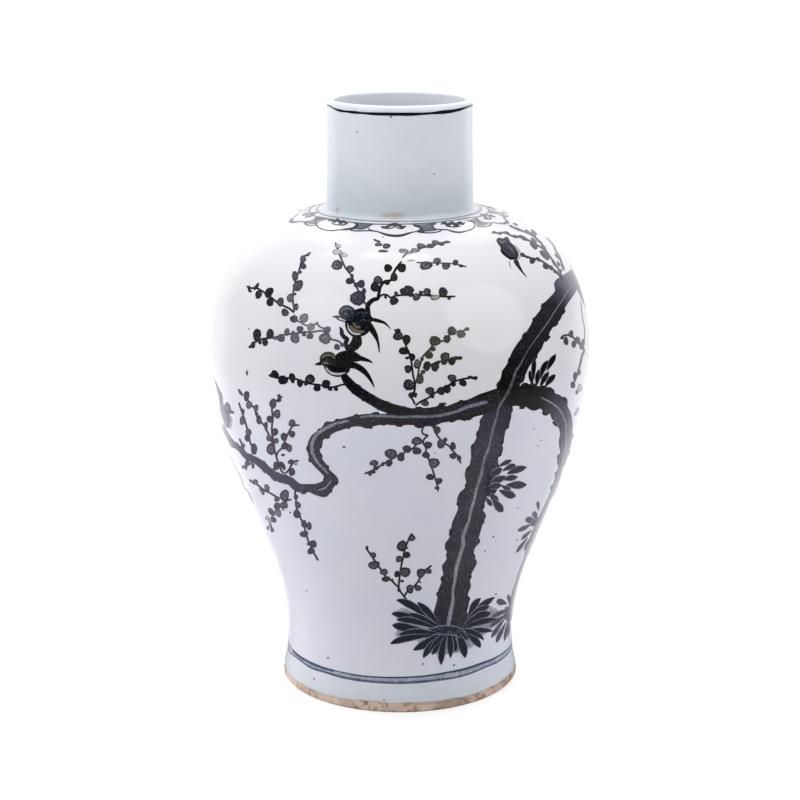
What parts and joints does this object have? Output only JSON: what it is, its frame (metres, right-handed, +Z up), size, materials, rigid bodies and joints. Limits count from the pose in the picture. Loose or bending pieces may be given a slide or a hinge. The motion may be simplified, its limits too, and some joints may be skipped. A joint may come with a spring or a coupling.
{
  "type": "floor vase",
  "caption": "Wide-shouldered glazed porcelain floor vase with a tall straight open neck and a flared foot with a bare ring; it stands on the floor and holds stems.",
  "frame": {"origin": "on the floor under the middle of the foot ring", "axes": "+Z up along the axis of the jar, from the foot to the lip; -Y towards the viewer, the side with the painted trunk"},
  "size_m": [0.3276, 0.3276, 0.51],
  "materials": {
    "glaze": "glossy bluish-white glaze over brush painting in blue-black cobalt",
    "bare_clay": "unglazed, matt, browned by the kiln",
    "slip": "fired slip, matt to satin"
  },
  "bodies": {
    "root": {"foot_ring": "bare_clay", "foot": "glaze", "base_disc": "bare_clay", "base_coil": "slip", "foot_lute": "slip", "lower_body": "glaze", "belly_lute": "slip", "upper_body": "glaze", "neck_lute": "slip", "neck": "glaze"}
  },
  "joints": []
}
